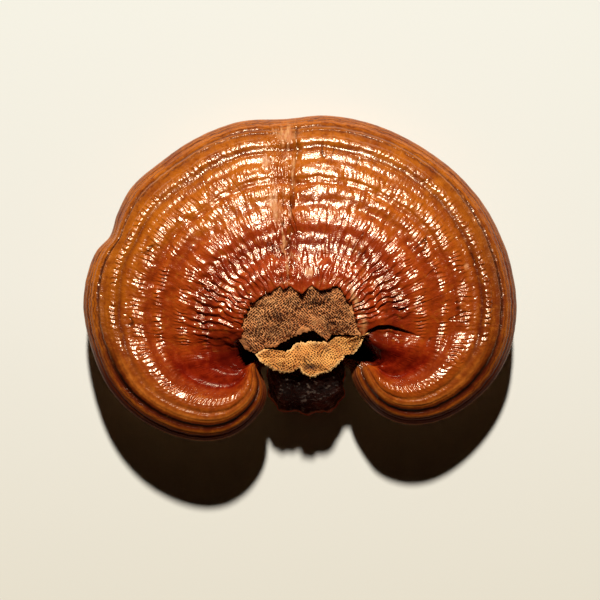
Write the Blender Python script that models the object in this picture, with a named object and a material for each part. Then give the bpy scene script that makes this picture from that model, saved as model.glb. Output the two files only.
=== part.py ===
# Reishi mushroom: a kidney-shaped lacquered cap on a short stem cut flat, lying as it would on a table.
# It stands on the stem's cut and on the far margin of the cap, so the cap leans back by about ten degrees.
# Every size is in millimetres until a mesh is made, where MM turns it into metres.
import math

import bmesh
import bpy
import numpy as np
from mathutils import noise

MM = 0.001
GAP = 0.35  # clearance between neighbouring pieces

# How the cap leans: its margin is lowest at the far side and rises towards the stem.
FAR_Y = 53.2
FAR_MARGIN_Z = 3.4
LEAN = 0.185
RIGHT_LOBE_DROP = 2.2

# The rolled margin, above and below its widest line.
ROLL_UP = 7.5
ROLL_UP_WIDTH = 8.0
ROLL_DOWN = 4.5
ROLL_DOWN_WIDTH = 4.0
ROLL_FULL_RIB = 16.0  # a rib shorter than this has a lower roll
BOWL_DEPTH = 4.5  # the hollow inside each lobe

# Height of the skin where it meets the pore tissue, and of the floor of the two crevices beside the stem.
SKIN_EDGE_Z = 31.5
PATCH_TOP_Z = 30.8
PATCH_SLOPE = 0.30
PATCH_FAR_Y = -5.0
PATCH_THICKNESS = 3.5
CREVICE_Z = 21.0

UNDERSIDE_HOLLOW = 3.0
PORE_SURFACE_STEP = 0.5  # the pore surface lies this much behind the bare margin round it
LONGEST_RIB = 56.0

# The ribs of the cap, once round from behind the stem by the left lobe, the far margin and the right lobe.
# Each is (margin x, margin y, inner x, inner y); growth bands cross them, radial wrinkles follow them.
RIBS = np.array((
    (0.0, -28.7, 0.0, -26.7),
    (-9.5, -28.8, -10.5, -27.0),
    (-12.6, -30.8, -14.5, -27.8),
    (-11.5, -34.0, -16.6, -29.0),
    (-10.6, -38.0, -17.5, -29.4),
    (-12.0, -43.0, -18.1, -29.5),
    (-17.0, -48.8, -18.7, -29.3),
    (-24.0, -52.5, -19.0, -29.0),
    (-32.5, -53.3, -19.3, -28.4),
    (-43.0, -50.8, -19.5, -27.7),
    (-53.5, -45.0, -19.6, -26.8),
    (-62.0, -36.0, -19.6, -25.6),
    (-67.5, -24.0, -19.4, -23.0),
    (-70.5, -9.7, -19.0, -18.6),
    (-69.5, 0.1, -18.8, -16.0),
    (-66.6, 7.9, -18.3, -13.4),
    (-62.3, 12.9, -17.5, -11.4),
    (-59.9, 20.5, -16.3, -9.9),
    (-55.5, 29.1, -14.4, -8.1),
    (-47.0, 36.8, -12.0, -6.5),
    (-34.5, 45.5, -9.0, -5.0),
    (-20.0, 51.1, -5.1, -4.0),
    (-5.0, 52.0, -1.0, -4.4),
    (9.0, 53.2, 3.5, -4.2),
    (24.0, 50.4, 8.6, -4.2),
    (38.5, 43.7, 12.5, -4.6),
    (51.0, 34.5, 15.0, -6.8),
    (61.0, 22.5, 16.8, -9.3),
    (68.0, 7.0, 18.1, -12.7),
    (70.6, -8.0, 18.8, -15.8),
    (69.2, -21.5, 20.2, -19.2),
    (63.5, -33.5, 22.9, -22.6),
    (54.0, -42.6, 24.7, -24.9),
    (43.0, -47.7, 25.6, -26.3),
    (33.0, -48.0, 25.9, -27.3),
    (25.5, -44.8, 25.8, -28.1),
    (20.0, -39.3, 25.3, -28.7),
    (17.0, -34.0, 24.3, -29.1),
    (16.2, -30.6, 22.4, -28.8),
    (13.5, -29.0, 18.0, -27.4),
    (7.0, -28.7, 9.0, -26.8),
))
COLUMNS_PER_RIB = 2.4

# Growth grooves between the bands: (distance from the margin on the longest rib, depth, half-width).
GROOVES = (
    (1.9, 0.80, 0.45),
    (4.8, 1.10, 0.55),
    (7.6, 0.45, 0.70),
    (11.6, 1.00, 0.80),
    (15.9, 0.50, 0.90),
    (21.8, 1.35, 1.30),
    (28.3, 1.15, 1.40),
    (35.5, 0.65, 1.50),
    (42.5, 1.15, 2.00),
    (50.0, 0.75, 1.60),
)
# Bands that stand proud, in the same measures: the ledges of the margin and the ridges further in.
BANDS = (
    (0.7, 0.40, 0.8),
    (3.3, 0.50, 0.9),
    (6.2, 0.35, 0.8),
    (9.8, 0.45, 1.1),
    (13.8, 0.35, 1.2),
    (18.6, 0.60, 1.5),
    (25.4, 0.45, 1.3),
    (32.0, 0.40, 1.6),
    (46.2, 0.50, 2.0),
)
# Rings of the top skin, by the same distance: one in each groove and one or more on each band.
TOP_RINGS = (0.0, 0.6, 1.3, 1.9, 2.6, 3.5, 4.3, 4.8, 5.5, 6.9, 8.6, 10.4, 11.6, 12.8, 15.4, 18.6, 21.8,
             25.2, 28.3, 32.0, 35.8, 39.2, 42.5, 46.2, 50.0, 53.2, LONGEST_RIB)
UNDER_RINGS = (0.5, 1.6, 3.6, 5.4, 6.4, 14.0, 26.0, 42.0, LONGEST_RIB)

# Radial wrinkles round the pore tissue.
WRINKLES = 23
WRINKLE_HEIGHT = 0.5
WRINKLE_START = 20.0

# The scar that runs from the far margin to the pore tissue, and the fold of skin on the right.
SCAR = ((-1.2, 50.0), (-1.9, 27.3), (-3.8, 11.1), (-3.6, -4.0))
SCAR_DEPTH = 0.9
SCAR_WIDTH = 1.5
FOLD = ((19.0, -20.8), (21.6, -17.4), (25.8, -15.2), (30.9, -17.0), (37.0, -19.0))
FOLD_DROP = 3.2
FOLD_REACH = 4.5

# Lower edge of the pore patch, along the crack, from left to right.
CRACK_TOP = ((-17.2, -24.2), (-14.1, -24.8), (-9.3, -22.9), (-3.8, -21.0), (0.6, -19.9), (3.8, -18.1),
             (7.0, -19.5), (9.6, -17.6), (13.4, -18.9), (17.6, -19.6))
PATCH_CENTRE = (0.0, -14.0)
PATCH_FIRST_RIB, PATCH_LAST_RIB = 12.6, 29.9
# Edge of the lip: the crack side from right to left, then the ruffled rim from left to right.
LIP_EDGE = ((19.4, -20.4), (17.2, -20.9), (15.0, -20.6), (11.8, -21.3), (8.9, -22.2), (3.2, -21.6),
            (-1.9, -22.5), (-6.1, -24.4), (-10.8, -24.2), (-14.7, -25.7),
            (-12.8, -27.9), (-10.2, -29.9), (-6.4, -31.2), (-2.9, -31.6), (-0.3, -30.2), (3.5, -33.6),
            (7.3, -32.4), (10.8, -29.3), (13.1, -29.1), (15.6, -26.0), (18.3, -24.8), (19.6, -22.0))
LIP_CENTRE = (3.0, -26.3)
LIP_CRACK_Z = 25.4
LIP_RIM_Z = 30.3
LIP_EDGE_THICKNESS = 1.7

# The stem: its cut on the table and its top under the lip, as (z, centre y, half-width, half-depth).
# Above STEM_STEP_Z only the part in front of the notch's back wall goes on up.
STEM_X = 2.2
STEM_SECTIONS = (
    (0.0, -34.6, 12.5, 11.1),
    (0.8, -34.5, 12.9, 11.5),
    (4.0, -33.6, 12.3, 10.9),
    (8.0, -32.0, 11.9, 10.6),
    (12.9, -28.8, 12.2, 12.0),
    (13.8, -31.0, 11.9, 9.2),
    (16.0, -30.4, 11.8, 8.8),
    (19.0, -29.7, 11.7, 7.8),
    (21.6, -29.0, 11.0, 6.6),
    (22.9, -28.8, 9.6, 5.2),
)
STEM_STEP_Z = 13.4
NOTCH_WALL_Y = -28.8
STEM_SIDES = 40
STEM_SQUARENESS = 2.7
STEM_FLUTES = 0.45


def smooth(x):
    x = np.clip(x, 0.0, 1.0)
    return x * x * (3.0 - 2.0 * x)


def ribs_at(u):
    # Both ends of the ribs at the places u, counted in ribs, on a closed centripetal spline.
    k = np.floor(u).astype(int)
    before, start, end, after = (RIBS[(k + step) % len(RIBS)] for step in (-1, 0, 1, 2))

    def knot(a, b):
        return np.sqrt(np.linalg.norm((b - a)[:, :2], axis=1))[:, None]

    span_in, span, span_out = knot(before, start), knot(start, end), knot(end, after)
    leaving = (end - start) + span * ((start - before) / span_in - (end - before) / (span_in + span))
    arriving = (end - start) + span * ((after - end) / span_out - (after - start) / (span + span_out))
    f = (u - k)[:, None]
    return ((2 * f**3 - 3 * f**2 + 1) * start + (f**3 - 2 * f**2 + f) * leaving
            + (3 * f**2 - 2 * f**3) * end + (f**3 - f**2) * arriving)


def margin_z(x, y):
    drop = RIGHT_LOBE_DROP * smooth(x / 35.0) * smooth((-8.0 - y) / 35.0)
    return FAR_MARGIN_Z + LEAN * (FAR_Y - y) - drop


def patch_z(x, y):
    lumps = 0.5 * np.sin(0.33 * x + 0.8) * np.cos(0.29 * y)
    return PATCH_TOP_Z - PATCH_SLOPE * (PATCH_FAR_Y - y) + lumps


def floor_z(y):
    return np.maximum(CREVICE_Z, PATCH_TOP_Z - PATCH_SLOPE * (PATCH_FAR_Y - y) - PATCH_THICKNESS)


def underside_z(x, y):
    return margin_z(x, y) - ROLL_DOWN


def skin_edge_z(y):
    # The skin's inner edge follows the slope of the pore patch, then drops into the crevices.
    along_patch = SKIN_EDGE_Z - PATCH_SLOPE * (PATCH_FAR_Y - y)
    return CREVICE_Z + (along_patch - CREVICE_Z) * smooth((y + 27.5) / 7.0)


def line_place(x, y, line):
    # Distance to a line of points, the side on which a point lies, and how far along it is, 0 to 1.
    corners = np.array(line)
    steps = np.linalg.norm(np.diff(corners, axis=0), axis=1)
    best = np.full(np.shape(x), 1e9)
    side = np.zeros(np.shape(x))
    along = np.zeros(np.shape(x))
    for k, step in enumerate(steps):
        dx, dy = (corners[k + 1] - corners[k]) / step
        run = np.clip((x - corners[k, 0]) * dx + (y - corners[k, 1]) * dy, 0.0, step)
        off_x = x - corners[k, 0] - dx * run
        off_y = y - corners[k, 1] - dy * run
        distance = np.hypot(off_x, off_y)
        nearer = distance < best
        best = np.where(nearer, distance, best)
        side = np.where(nearer, np.sign(dx * off_y - dy * off_x), side)
        along = np.where(nearer, (steps[:k].sum() + run) / steps.sum(), along)
    return best, side, along


def growth_relief(d):
    cut = sum(depth * np.exp(-((d - at) / width) ** 2) for at, depth, width in GROOVES)
    raised = sum(height * np.exp(-((d - at) / width) ** 2) for at, height, width in BANDS)
    return raised - cut


def radial_wrinkles(x, y, d):
    angle = np.arctan2(y - PATCH_CENTRE[1], x - PATCH_CENTRE[0])
    wave = np.sin(WRINKLES * angle + 1.3 * np.sin(4.0 * angle) + 0.1 * d)
    return WRINKLE_HEIGHT * wave * smooth((d - WRINKLE_START) / 18.0) * smooth((59.0 - d) / 6.0)


def scar_and_fold(x, y):
    distance, _, along = line_place(x, y, SCAR)
    ends = smooth(along / 0.04) * smooth((1.0 - along) / 0.04)
    scar = -SCAR_DEPTH * ends * np.exp(-(distance / SCAR_WIDTH) ** 2)
    distance, side, along = line_place(x, y, FOLD)
    fade = smooth((1.0 - along) / 0.5) * smooth(along / 0.1)
    below = np.where(side < 0, smooth(distance / 0.8) * np.exp(-distance / FOLD_REACH), 0.0)
    return scar - FOLD_DROP * fade * below


def place_on_ribs(u, d):
    ends = ribs_at(u)
    outer = ends[:, None, :2]
    inner = ends[:, None, 2:]
    length = np.linalg.norm(outer - inner, axis=2)
    share = d / LONGEST_RIB
    power = np.maximum(1.0, LONGEST_RIB / length)
    share = 0.85 * (1.0 - (1.0 - share) ** power) + 0.15 * share
    run = share * length
    xy = outer + (inner - outer) * share[..., None]
    return xy[..., 0], xy[..., 1], run, length, outer, inner


def top_skin(u, rings):
    d = np.array(rings)[None, :]
    x, y, run, length, outer, inner = place_on_ribs(u, d)
    start_z = margin_z(outer[..., 0], outer[..., 1])
    end_z = skin_edge_z(inner[..., 1])
    width = np.minimum(ROLL_UP_WIDTH, 0.6 * length)
    roll = np.sqrt(1.0 - (1.0 - np.minimum(run / width, 1.0)) ** 2)
    roll = roll * ROLL_UP * np.minimum(1.0, length / ROLL_FULL_RIB) * (1.0 - (d / LONGEST_RIB) ** 2)
    hollow = np.sin(math.pi * np.clip((d - 8.0) / (LONGEST_RIB - 8.0), 0.0, 1.0)) ** 1.5
    hollow = hollow * BOWL_DEPTH * smooth((30.0 - outer[..., 1]) / 75.0) * smooth(length / 20.0)
    z = start_z + (end_z - start_z) * d / LONGEST_RIB + roll - hollow
    full = np.minimum(1.0, length / 22.0)
    z = z + full * (growth_relief(d) + radial_wrinkles(x, y, d)) + scar_and_fold(x, y)
    # On the steep margin a groove is cut sideways rather than down.
    sideways = np.exp(-d / 3.0) * full * growth_relief(d)
    away = (outer - inner) / length[..., None]
    return np.stack((x + sideways * away[..., 0], y + sideways * away[..., 1], z), axis=2)


def underside(u, rings):
    d = np.array(rings)[None, :]
    x, y, run, length, outer, _ = place_on_ribs(u, d)
    width = np.minimum(ROLL_DOWN_WIDTH, 0.6 * length)
    roll = np.sqrt(1.0 - (1.0 - np.minimum(run / width, 1.0)) ** 2)
    hollow = UNDERSIDE_HOLLOW * np.sin(math.pi * np.clip(d / LONGEST_RIB, 0.0, 1.0)) ** 2
    hollow = hollow * np.minimum(1.0, length / 30.0) + PORE_SURFACE_STEP * smooth((run - 4.6) / 1.2)
    z = margin_z(x, y) - ROLL_DOWN * roll + hollow
    return np.stack((x, y, np.maximum(z, 0.0)), axis=2)


def material(name, color, roughness, coat=0.0):
    made = bpy.data.materials.new(name)
    made.use_nodes = True
    shader = made.node_tree.nodes["Principled BSDF"]
    shader.inputs["Base Color"].default_value = (*color, 1.0)
    shader.inputs["Roughness"].default_value = roughness
    shader.inputs["Metallic"].default_value = 0.0
    shader.inputs["Coat Weight"].default_value = coat
    made.diffuse_color = (*color, 1.0)
    return made


def loft(name, loops, first_pole, last_pole, finish):
    # A closed body through loops of equal length, closed at each end by a fan to a pole.
    bm = bmesh.new()
    rings = [[bm.verts.new(tuple(p * MM for p in point)) for point in loop] for loop in loops]
    for ring, after in zip(rings, rings[1:]):
        for k in range(len(ring)):
            following = (k + 1) % len(ring)
            bm.faces.new((ring[k], ring[following], after[following], after[k]))
    for ring, pole in ((rings[0][::-1], first_pole), (rings[-1], last_pole)):
        if pole is None:
            bm.faces.new(ring)
            continue
        centre = bm.verts.new(tuple(p * MM for p in pole))
        for k in range(len(ring)):
            bm.faces.new((ring[k], ring[(k + 1) % len(ring)], centre))
    bmesh.ops.recalc_face_normals(bm, faces=bm.faces)
    bmesh.ops.triangulate(bm, faces=bm.faces, quad_method="SHORT_EDGE")
    mesh = bpy.data.meshes.new(name)
    bm.to_mesh(mesh)
    bm.free()
    mesh.shade_smooth()
    mesh.materials.append(finish)
    made = bpy.data.objects.new(name, mesh)
    bpy.context.scene.collection.objects.link(made)
    return made


def shrunk(loop, centre, share):
    return [(centre[0] + (x - centre[0]) * share, centre[1] + (y - centre[1]) * share) for x, y in loop]


def cap():
    columns = int(COLUMNS_PER_RIB * len(RIBS))
    u = np.arange(columns) * len(RIBS) / columns
    top = top_skin(u, TOP_RINGS)
    under = underside(u, UNDER_RINGS)
    edge = [tuple(p) for p in top[:, -1, :2]]
    # The seat of the pore tissue: a low wall inside the skin's edge, then a floor that closes on a pole.
    seat = []
    for share in (0.96, 0.60, 0.30):
        ring = shrunk(edge, PATCH_CENTRE, share)
        seat.append([(x, y, float(floor_z(y))) for x, y in ring])
    loops = seat[::-1] + [top[:, k] for k in reversed(range(len(TOP_RINGS)))]
    loops += [under[:, k] for k in range(len(UNDER_RINGS))]
    last = under[:, -1]
    for share in (0.6, 0.3):
        ring = shrunk([tuple(p) for p in last[:, :2]], PATCH_CENTRE, share)
        loops.append([(x, y, float(underside_z(x, y))) for x, y in ring])
    poles = [(*PATCH_CENTRE, float(z)) for z in (floor_z(PATCH_CENTRE[1]), underside_z(*PATCH_CENTRE))]
    return loft("cap", loops, *poles, material("lacquered skin", (0.30, 0.075, 0.022), 0.25, 0.8))


def pad(name, edge, centre, top, bottom, shares, finish):
    # A slab with a given edge: its top and its bottom are heights over the plan.
    loops = [[(x, y, top(x, y)) for x, y in shrunk(edge, centre, share)] for share in shares]
    loops += [[(x, y, bottom(x, y)) for x, y in shrunk(edge, centre, share)] for share in reversed(shares)]
    poles = ((*centre, top(*centre)), (*centre, bottom(*centre)))
    return loft(name, loops, *poles, finish)


def inset(points, centre, by):
    moved = []
    for x, y in points:
        reach = math.hypot(x - centre[0], y - centre[1])
        share = 1.0 - by / reach
        moved.append((centre[0] + (x - centre[0]) * share, centre[1] + (y - centre[1]) * share))
    return moved


def resampled(line, step):
    # Points about a step apart along a line, its corners kept.
    made = []
    for a, b in zip(line, line[1:]):
        count = max(1, round(math.dist(a, b) / step))
        made += [(a[0] + (b[0] - a[0]) * k / count, a[1] + (b[1] - a[1]) * k / count) for k in range(count)]
    return made


def pore_patch():
    places = np.arange(PATCH_FIRST_RIB, PATCH_LAST_RIB, 0.5)
    skin_side = [tuple(p) for p in ribs_at(places)[:, 2:]]
    # The seat's wall stands at 0.96 of the skin's edge, and the patch keeps clear of it.
    skin_side = inset(shrunk(skin_side, PATCH_CENTRE, 0.96), PATCH_CENTRE, GAP)
    edge = resampled(CRACK_TOP[::-1], 2.0) + [CRACK_TOP[0]] + skin_side

    def top(x, y):
        grain = 0.35 * noise.noise((0.45 * x, 0.45 * y, 3.0))
        return float(patch_z(x, y)) + grain

    def bottom(x, y):
        return float(floor_z(y)) + GAP

    return pad("pore_patch", edge, PATCH_CENTRE, top, bottom, (0.2, 0.45, 0.7, 0.88, 1.0),
               material("pore tissue", (0.34, 0.17, 0.075), 0.85))


def pore_lip():
    edge = resampled(LIP_EDGE + LIP_EDGE[:1], 2.2)

    def top(x, y):
        rise = float(smooth((-21.5 - y) / 9.0))
        ruffle = 0.5 * math.sin(0.75 * x + 0.6) + 0.3 * math.sin(1.9 * x)
        sides = 0.012 * (x - LIP_CENTRE[0]) ** 2
        return LIP_CRACK_Z + (LIP_RIM_Z - LIP_CRACK_Z + ruffle) * rise - 0.8 * sides * rise

    def bottom(x, y):
        over_stem = float(smooth((-27.5 - y) / 3.0))
        seat = float(floor_z(y)) + 2.0 * GAP
        return seat + (top(x, y) - LIP_EDGE_THICKNESS - seat) * over_stem

    return pad("pore_lip", edge, LIP_CENTRE, top, bottom, (0.25, 0.5, 0.75, 0.9, 1.0),
               material("young pore tissue", (0.56, 0.33, 0.12), 0.8))


def stem():
    loops = []
    for z, centre_y, half_width, half_depth in STEM_SECTIONS:
        loop = []
        for k in range(STEM_SIDES):
            angle = 2.0 * math.pi * k / STEM_SIDES
            c, s = math.cos(angle), math.sin(angle)
            reach = (abs(c) ** STEM_SQUARENESS + abs(s) ** STEM_SQUARENESS) ** (-1.0 / STEM_SQUARENESS)
            flute = STEM_FLUTES * math.sin(11.0 * angle + 0.12 * z) if z > 0.0 else 0.0
            x = STEM_X + c * (reach * half_width + flute)
            y = centre_y + s * (reach * half_depth + flute)
            if z > STEM_STEP_Z:
                loop.append((x, min(y, NOTCH_WALL_Y - GAP), z))
            else:
                loop.append((x, y, min(z, float(underside_z(x, y)) - GAP)))
        loops.append(loop)
    top_z, top_y = STEM_SECTIONS[-1][:2]
    return loft("stem", loops, None, (STEM_X, top_y - 3.0, top_z + 0.3),
                material("dark lacquered stem", (0.022, 0.008, 0.006), 0.3, 0.8))


def move_to_origin(pieces):
    # Origin under the middle of the whole, at table height.
    corners = np.array([vert.co[:] for piece in pieces for vert in piece.data.vertices])
    low, high = corners.min(axis=0), corners.max(axis=0)
    shift = (-(low[0] + high[0]) / 2, -(low[1] + high[1]) / 2, -low[2])
    for piece in pieces:
        for vert in piece.data.vertices:
            vert.co = [vert.co[k] + shift[k] for k in range(3)]


def build():
    for leftover in list(bpy.data.objects):
        bpy.data.objects.remove(leftover, do_unlink=True)
    move_to_origin((cap(), pore_patch(), pore_lip(), stem()))


build()
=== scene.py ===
import math
import bpy
import numpy as np
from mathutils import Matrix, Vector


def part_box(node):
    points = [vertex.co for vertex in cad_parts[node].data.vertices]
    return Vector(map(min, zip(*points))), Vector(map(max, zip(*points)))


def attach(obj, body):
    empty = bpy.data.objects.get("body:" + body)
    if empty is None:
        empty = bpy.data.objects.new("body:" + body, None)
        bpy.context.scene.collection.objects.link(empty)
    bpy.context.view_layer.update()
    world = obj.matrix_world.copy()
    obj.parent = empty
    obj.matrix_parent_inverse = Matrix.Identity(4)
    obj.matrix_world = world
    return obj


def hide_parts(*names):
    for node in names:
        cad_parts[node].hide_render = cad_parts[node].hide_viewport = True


# Reishi mushroom seen from straight above: a lacquered kidney cap on a short dark stem, lying on a pale table.
# Lengths are millimetres and become metres when a mesh is made.
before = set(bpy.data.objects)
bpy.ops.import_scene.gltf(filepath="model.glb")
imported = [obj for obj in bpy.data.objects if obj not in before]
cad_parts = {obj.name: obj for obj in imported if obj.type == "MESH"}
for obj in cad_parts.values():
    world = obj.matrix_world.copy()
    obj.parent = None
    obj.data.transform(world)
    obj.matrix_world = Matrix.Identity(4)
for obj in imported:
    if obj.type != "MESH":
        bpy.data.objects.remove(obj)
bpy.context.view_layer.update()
mm = 0.001
tableGap = 0.02  # how far above the table every mesh stays

cap = {
    "farY": 53.2,  # the lowest place of the margin, on the table
    "farMarginZ": 3.4,
    "lean": 0.185,  # rise of the margin towards the stem
    "rightLobeDrop": 2.2,
    "rollUp": 7.5,
    "rollUpWidth": 8.0,
    "rollDown": 4.5,
    "rollDownWidth": 4.0,
    "rollFullRib": 16.0,
    "bowlDepth": 4.5,
    "lobeRollWidth": 5.0,  # how much wider the rolled margin is on the lobes
    "lobeBowlStart": 7.0,
    "skinEdgeZ": 31.5,
    "patchTopZ": 30.8,
    "patchSlope": 0.30,
    "patchFarY": -5.0,
    "patchThickness": 3.5,
    "creviceZ": 21.0,
    "undersideHollow": 3.0,
    "poreStep": 0.5,
    "longestRib": 56.0,
}
ringEnds = (5.5, 12.7, 24.0, 45.2)  # the places where the skin's rings meet
ringStart = 0.12  # each ring starts this far before that place
ringOverlap = 0.45  # and runs on this far under the next

# Ribs of the cap, once round from behind the stem by the left lobe: margin x, margin y, inner x, inner y.
ribs = np.array((
    (0.0, -28.7, 0.0, -26.7), (-9.5, -28.8, -10.5, -27.0), (-12.6, -30.8, -14.5, -27.8),
    (-11.5, -34.0, -16.6, -29.0), (-10.6, -38.0, -17.5, -29.4), (-12.0, -43.0, -18.1, -29.5),
    (-17.0, -48.8, -18.7, -29.3), (-24.0, -52.5, -19.0, -29.0), (-32.5, -53.3, -19.3, -28.4),
    (-43.0, -50.8, -19.5, -27.7), (-53.5, -45.0, -19.6, -26.8), (-62.0, -36.0, -19.6, -25.6),
    (-67.5, -24.0, -19.4, -23.0), (-70.5, -9.7, -19.0, -18.6), (-69.5, 0.1, -18.8, -16.0),
    (-66.6, 7.9, -18.3, -13.4), (-62.3, 12.9, -17.5, -11.4), (-59.9, 20.5, -16.3, -9.9),
    (-55.5, 29.1, -14.4, -8.1), (-47.0, 36.8, -12.0, -6.5), (-34.5, 45.5, -9.0, -5.0),
    (-20.0, 51.1, -5.1, -4.0), (-5.0, 52.0, -1.0, -4.4), (9.0, 53.2, 3.5, -4.2),
    (24.0, 50.4, 8.6, -4.2), (38.5, 43.7, 12.5, -4.6), (51.0, 34.5, 15.0, -6.8),
    (61.0, 22.5, 16.8, -9.3), (68.0, 7.0, 18.1, -12.7), (70.6, -8.0, 18.8, -15.8),
    (69.2, -21.5, 20.2, -19.2), (63.5, -33.5, 22.9, -22.6), (54.0, -42.6, 24.7, -24.9),
    (43.0, -47.7, 25.6, -26.3), (33.0, -48.0, 25.9, -27.3), (25.5, -44.8, 25.8, -28.1),
    (20.0, -39.3, 25.3, -28.7), (17.0, -34.0, 24.3, -29.1), (16.2, -30.6, 22.4, -28.8),
    (13.5, -29.0, 18.0, -27.4), (7.0, -28.7, 9.0, -26.8),
))
patchCentre = (0.0, -14.0)
# The margin has a kink on the left. Further in the growth lines run past it, as if the margin were this.
smoothRibs = ribs.copy()
for turnedRib, marginX, marginY in ((14, -70.2, 1.0), (15, -67.9, 9.6), (16, -64.9, 16.4), (17, -61.2, 22.6),
                                    (18, -56.0, 29.6)):
    smoothRibs[turnedRib, :2] = marginX, marginY

# Growth bands of the skin: place from the margin, height (a groove is below nought) and half-width.
growthBands = (
    (-3.6, -0.22, 0.35), (-2.3, -0.30, 0.35), (-1.2, -0.28, 0.30), (-0.35, -0.22, 0.22),
    (0.35, 0.14, 0.30), (1.05, -0.14, 0.18), (1.95, -0.34, 0.32), (2.65, 0.20, 0.26), (3.9, 0.22, 0.70),
    (5.6, -0.48, 0.48), (6.4, 0.20, 0.35), (7.6, -0.10, 0.40), (10.4, 0.40, 1.30), (12.7, -0.26, 0.70),
    (14.6, 0.14, 0.90), (18.9, 0.50, 2.70), (21.6, -0.14, 0.35), (23.4, -0.30, 1.10), (25.5, 0.36, 2.00),
    (29.6, -0.28, 1.40), (33.6, 0.30, 2.90), (38.4, -0.25, 1.20), (42.6, -0.12, 1.90), (47.8, -0.20, 2.20),
    (53.0, 0.42, 3.40),
)
# Where the bands carry wrinkles: place, half-width and how strong.
wrinkledBands = ((10.4, 1.0, 0.9), (14.8, 0.6, 0.3), (18.4, 2.1, 1.0), (25.4, 1.6, 1.05), (33.7, 2.3, 1.1),
                 (40.4, 2.8, 1.0))


# Shape of the cap.
def smooth(x):
    x = np.clip(x, 0.0, 1.0)
    return x * x * (3.0 - 2.0 * x)


def ripple(turn, waves, seed):
    # A wavy value round the cap, about -1 to 1, from a few sines with whole numbers of waves.
    draw = np.random.default_rng(seed)
    parts = [np.sin(2 * math.pi * (count * turn + draw.random())) * (0.6 + draw.random()) for count in waves]
    return sum(parts) / math.sqrt(len(waves))


def ribsAt(u, table=ribs):
    # Both ends of the ribs at the places u, counted in ribs, on a closed centripetal spline.
    k = np.floor(u).astype(int)
    before, start, end, after = (table[(k + step) % len(ribs)] for step in (-1, 0, 1, 2))

    def knot(a, b):
        return np.sqrt(np.linalg.norm((b - a)[:, :2], axis=1))[:, None]

    spanIn, span, spanOut = knot(before, start), knot(start, end), knot(end, after)
    leaving = (end - start) + span * ((start - before) / spanIn - (end - before) / (spanIn + span))
    arriving = (end - start) + span * ((after - end) / spanOut - (after - start) / (span + spanOut))
    f = (u - k)[:, None]
    return ((2 * f**3 - 3 * f**2 + 1) * start + (f**3 - 2 * f**2 + f) * leaving
            + (3 * f**2 - 2 * f**3) * end + (f**3 - f**2) * arriving)


def marginZ(x, y):
    drop = cap["rightLobeDrop"] * smooth(x / 35.0) * smooth((-8.0 - y) / 35.0)
    return cap["farMarginZ"] + cap["lean"] * (cap["farY"] - y) - drop


def patchZ(x, y):
    lumps = 0.5 * np.sin(0.33 * x + 0.8) * np.cos(0.29 * y)
    return cap["patchTopZ"] - cap["patchSlope"] * (cap["patchFarY"] - y) + lumps


def floorZ(y):
    below = cap["patchTopZ"] - cap["patchSlope"] * (cap["patchFarY"] - y) - cap["patchThickness"]
    return np.maximum(cap["creviceZ"], below)


def skinEdgeZ(y):
    alongPatch = cap["skinEdgeZ"] - cap["patchSlope"] * (cap["patchFarY"] - y)
    return cap["creviceZ"] + (alongPatch - cap["creviceZ"]) * smooth((y + 27.5) / 7.0)


def linePlace(x, y, line):
    # Distance to a line of points, the side on which a point lies, and how far along it is, 0 to 1.
    corners = np.array(line)
    steps = np.linalg.norm(np.diff(corners, axis=0), axis=1)
    best = np.full(np.shape(x), 1e9)
    side = np.zeros(np.shape(x))
    along = np.zeros(np.shape(x))
    for k, step in enumerate(steps):
        dx, dy = (corners[k + 1] - corners[k]) / step
        run = np.clip((x - corners[k, 0]) * dx + (y - corners[k, 1]) * dy, 0.0, step)
        offX = x - corners[k, 0] - dx * run
        offY = y - corners[k, 1] - dy * run
        distance = np.hypot(offX, offY)
        nearer = distance < best
        best = np.where(nearer, distance, best)
        side = np.where(nearer, np.sign(dx * offY - dy * offX), side)
        along = np.where(nearer, (steps[:k].sum() + run) / steps.sum(), along)
    return best, side, along


def runningLength(corners):
    steps = np.linalg.norm(np.diff(corners, axis=0), axis=1)
    return np.concatenate(([0.0], np.cumsum(steps)))


def lengthRound(place):
    # Places round the cap, counted in ribs, and how far each is along the line at this place from the margin.
    fine = np.linspace(0.0, len(ribs), 4001)
    x, y = placeOnRibs(fine, np.array([[place]]))[:2]
    return fine, runningLength(np.column_stack((x, y)))


def evenColumns(count, place):
    # Places round the cap that are evenly spaced along that line.
    fine, total = lengthRound(place)
    return np.interp(np.arange(count) / count * total[-1], total, fine)


def turnOf(u):
    # How far round the cap a rib is, 0 to 1, measured along the line in the middle of the skin.
    fine, total = lengthRound(18.0)
    return np.interp(u, fine, total / total[-1])


def placeOnRibs(u, d):
    ends = ribsAt(u)
    outer = ends[:, None, :2]
    inner = ends[:, None, 2:]
    length = np.linalg.norm(outer - inner, axis=2)
    share = d / cap["longestRib"]
    power = np.maximum(1.0, cap["longestRib"] / length)
    share = 0.85 * (1.0 - (1.0 - share) ** power) + 0.15 * share
    run = share * length
    xy = outer + (inner - outer) * share[..., None]
    kink = ribsAt(u, smoothRibs)[:, None, :2] - outer
    xy = xy + kink * ((1.0 - np.exp(-(d / 7.0) ** 2)) * (1.0 - share))[..., None]
    return xy[..., 0], xy[..., 1], run, length, outer, inner


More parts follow.
